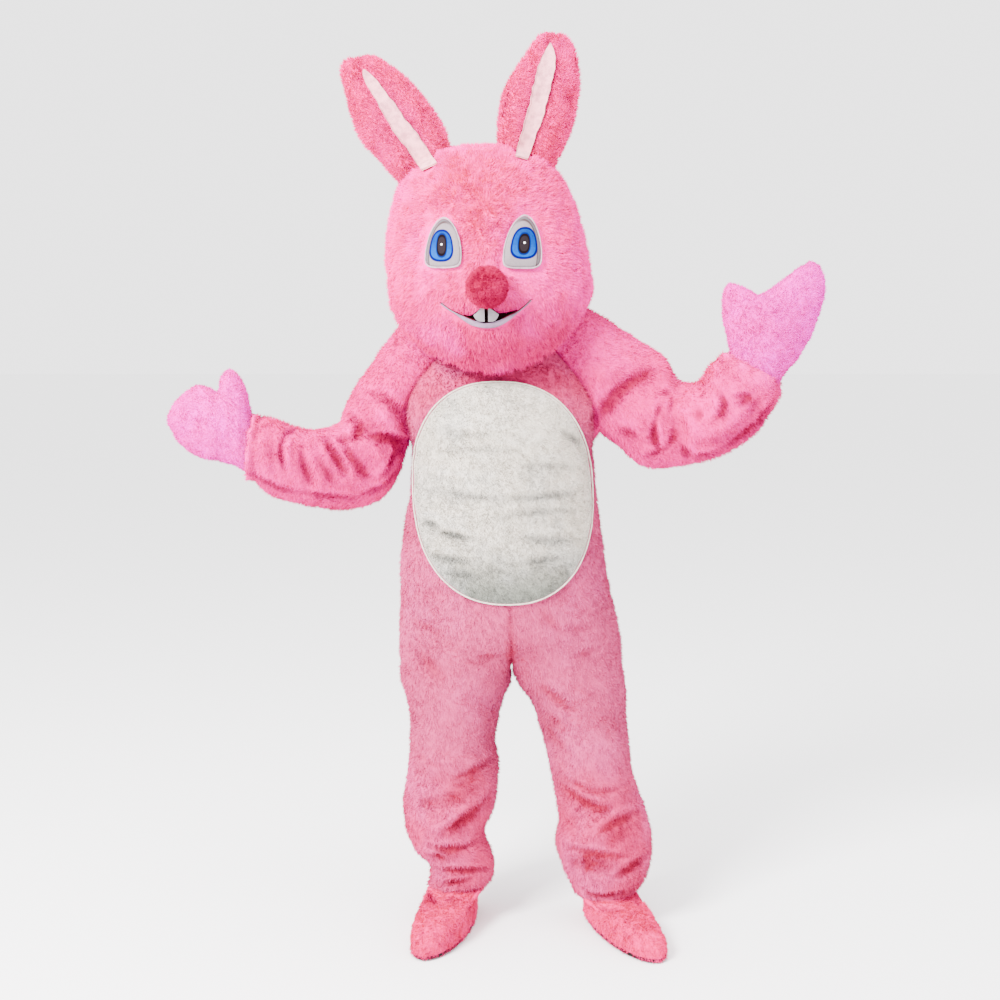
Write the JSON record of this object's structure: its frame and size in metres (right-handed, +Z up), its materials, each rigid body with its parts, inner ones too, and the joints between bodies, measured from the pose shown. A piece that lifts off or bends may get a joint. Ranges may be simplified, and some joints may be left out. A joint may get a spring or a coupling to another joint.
{
  "type": "rabbit mascot costume",
  "caption": "Worn, hollow plush rabbit costume: jumpsuit with belly patch, head with upright ears, mittens and foot covers, one arm raised.",
  "frame": {"origin": "between the shoulders, on the middle line at the height where the wearer's shoulders carry the suit and the head", "axes": "+Z up, -Y towards the front of the costume, +X towards the wearer's left (the raised arm)"},
  "size_m": [1.414, 0.5368, 1.9772],
  "materials": {
    "plush_pink": "short plush nap",
    "plush_hot_pink": "long plush pile",
    "plush_red_pink": "short plush nap",
    "plush_white": "short plush nap",
    "strip_cream": "brushed felt",
    "felt_white": "felt",
    "eye_enamel": "satin paint",
    "lip_lilac": "satin",
    "mesh_dark": "open mesh, matt",
    "tooth": "satin",
    "zip_tape": "woven tape",
    "sole_dark": "matt ribbed"
  },
  "bodies": {
    "root": {"back_left": "plush_pink", "back_right": "plush_pink", "back_zip": "zip_tape", "belly_patch": "plush_white", "ear_back_left": "plush_hot_pink", "ear_back_right": "plush_hot_pink", "ear_front_left": "plush_hot_pink", "ear_front_right": "plush_hot_pink", "ear_strip_left": "strip_cream", "ear_strip_right": "strip_cream", "eye_left": "eye_enamel", "eye_right": "eye_enamel", "eye_rim_left": "felt_white", "eye_rim_right": "felt_white", "foot_sole_left": "sole_dark", "foot_sole_right": "sole_dark", "foot_upper_left": "plush_pink", "foot_upper_right": "plush_pink", "front_left": "plush_pink", "front_right": "plush_pink", "head_back": "plush_hot_pink", "head_front": "plush_hot_pink", "mitten_back_left": "plush_pink", "mitten_back_right": "plush_pink", "mitten_palm_left": "plush_pink", "mitten_palm_right": "plush_pink", "mouth_lip": "lip_lilac", "mouth_mesh": "mesh_dark", "nose": "plush_red_pink", "patch_edge": "felt_white", "sleeve_left": "plush_pink", "sleeve_right": "plush_pink", "tooth_left": "tooth", "tooth_right": "tooth"}
  },
  "joints": []
}
